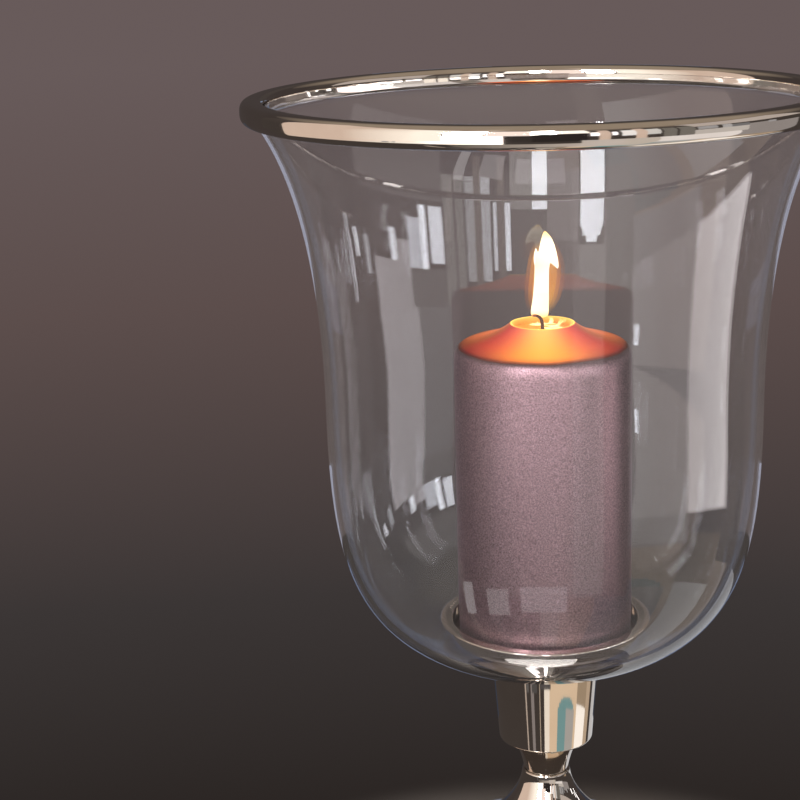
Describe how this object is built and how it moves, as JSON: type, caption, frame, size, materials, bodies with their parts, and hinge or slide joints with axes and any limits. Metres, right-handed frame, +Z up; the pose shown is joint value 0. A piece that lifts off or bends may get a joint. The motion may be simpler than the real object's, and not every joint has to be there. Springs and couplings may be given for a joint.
{
  "type": "hurricane lantern",
  "caption": "Hurricane lantern: flared clear glass bell with a polished nickel rim on a nickel collar and trumpet foot, holding a lit pillar candle in a flanged dish.",
  "frame": {"origin": "on the axis of the lantern, at the underside of the felt where it stands on a table", "axes": "+Z up along the axis of the bell; the wick curls towards -X; -Y faces the viewer of the picture"},
  "size_m": [0.261, 0.261, 0.3789],
  "materials": {
    "nickel": "mirror-polished warm nickel plate",
    "glass": "clear blown glass with a faint blue edge",
    "steel": "plain zinc-plated steel",
    "clear_rubber": "clear soft silicone",
    "felt": "black felt",
    "wax": "paraffin wax with a metallic mauve lacquer, glowing orange at the top",
    "wick": "braided cotton, burnt"
  },
  "bodies": {
    "lantern": {"base_felt": "felt", "trumpet_foot": "nickel", "tie_washer": "steel", "tie_nut": "steel", "stem_collar": "nickel", "base_grommet": "clear_rubber", "glass_bell": "glass", "rim_band": "nickel", "dish_pad": "clear_rubber", "candle_dish": "nickel", "tie_bolt": "steel"},
    "candle": {"candle": "wax", "candle_wick": "wick"}
  },
  "joints": [
    {"name": "candle_lift", "type": "slide", "parent": "lantern", "child": "candle", "axis": [0, 0, 1], "range_m": [0, 0.27]}
  ]
}
